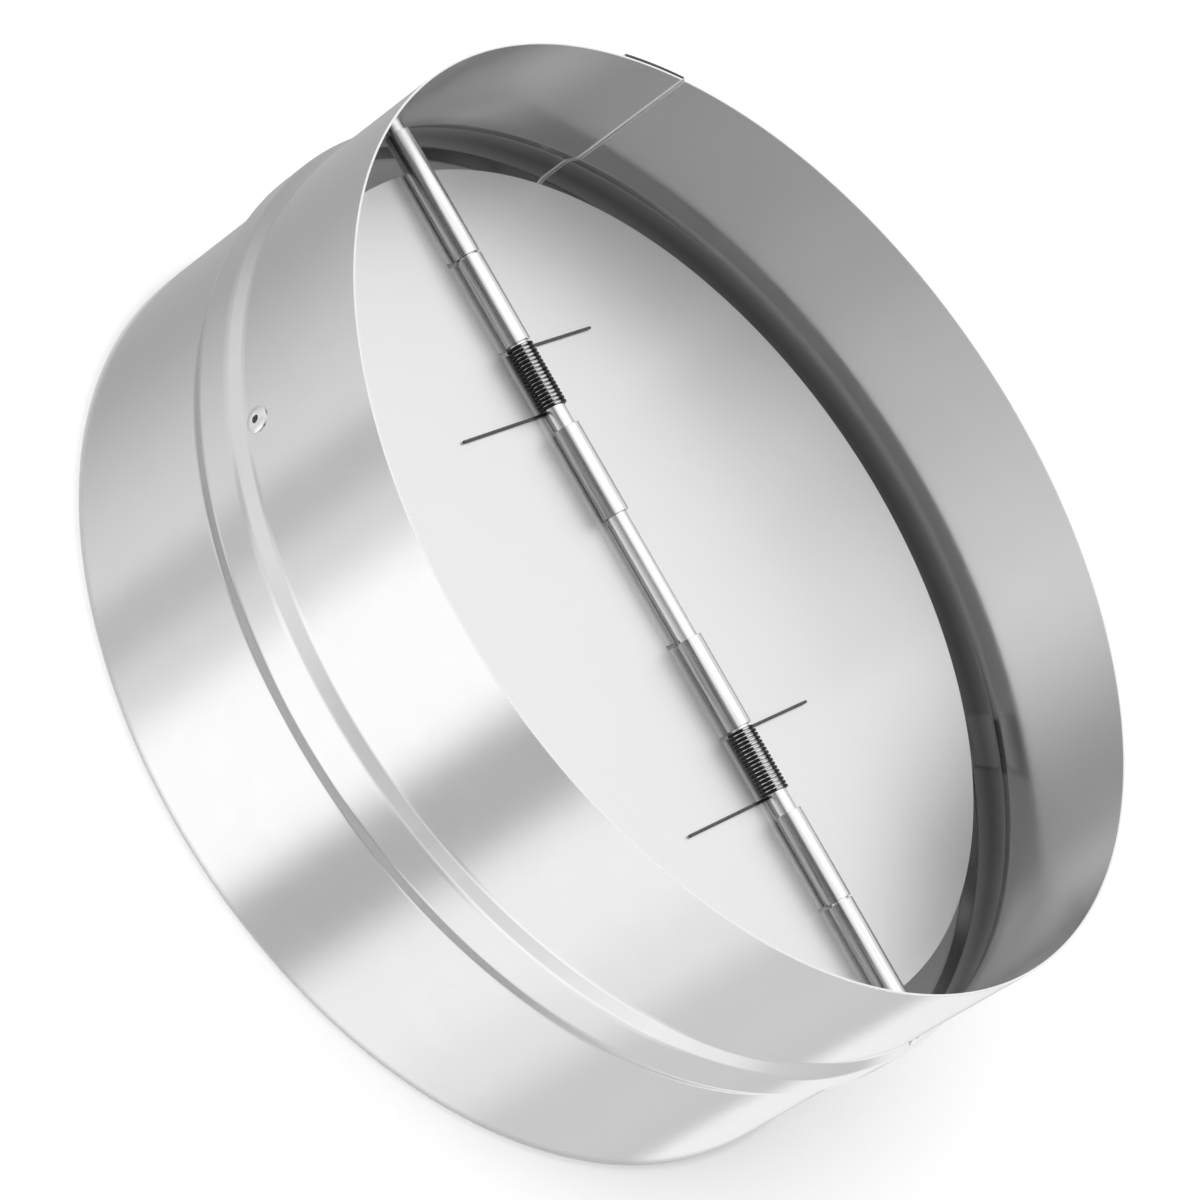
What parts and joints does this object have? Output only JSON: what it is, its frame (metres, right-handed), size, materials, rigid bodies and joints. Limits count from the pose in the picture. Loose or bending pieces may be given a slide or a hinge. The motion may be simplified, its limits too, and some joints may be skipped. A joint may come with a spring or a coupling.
{
  "type": "backdraft damper",
  "caption": "Round duct backdraft damper: rolled sleeve with a bead, and spring-closed half-disc blades on a centre hinge rod.",
  "frame": {"origin": "centre of the inlet rim, on the duct's axis", "axes": "+Z along the duct's axis from the inlet to the outlet, the way the air leaves; +X along the hinge rod; +Y towards the right blade"},
  "size_m": [0.2526, 0.2526, 0.096],
  "materials": {
    "galvanised_sheet": "satin zinc coat with faint spangle",
    "zinc_plated_steel": "bright zinc plate",
    "aluminium_sheet": "satin mill finish",
    "black_spring_steel": "black oxide with a light sheen",
    "rivet_aluminium": "bright",
    "mandrel_steel": "dull steel"
  },
  "bodies": {
    "sleeve": {"duct_sleeve": "galvanised_sheet", "hinge_rod": "zinc_plated_steel", "rear_torsion_spring": "black_spring_steel", "front_torsion_spring": "black_spring_steel", "left_stop_bracket": "zinc_plated_steel", "right_stop_bracket": "zinc_plated_steel", "left_stop_rivet": "rivet_aluminium", "right_stop_rivet": "rivet_aluminium", "left_rivet_mandrel": "mandrel_steel", "right_rivet_mandrel": "mandrel_steel"},
    "right_wing": {"right_blade": "aluminium_sheet"},
    "left_wing": {"left_blade": "aluminium_sheet"}
  },
  "joints": [
    {"name": "right_blade_hinge", "type": "hinge", "parent": "sleeve", "child": "right_wing", "pos_m": [0, 0, 0.05945], "axis": [1, 0, 0], "range_deg": [0, 85], "stiffness_Nm_per_rad": 0.02, "springref_deg": -57.3, "deforming": ["front_torsion_spring", "rear_torsion_spring"]},
    {"name": "left_blade_hinge", "type": "hinge", "parent": "sleeve", "child": "left_wing", "pos_m": [0, 0, 0.05945], "axis": [-1, 0, 0], "range_deg": [0, 85], "stiffness_Nm_per_rad": 0.02, "springref_deg": -57.3, "deforming": ["front_torsion_spring", "rear_torsion_spring"]}
  ]
}
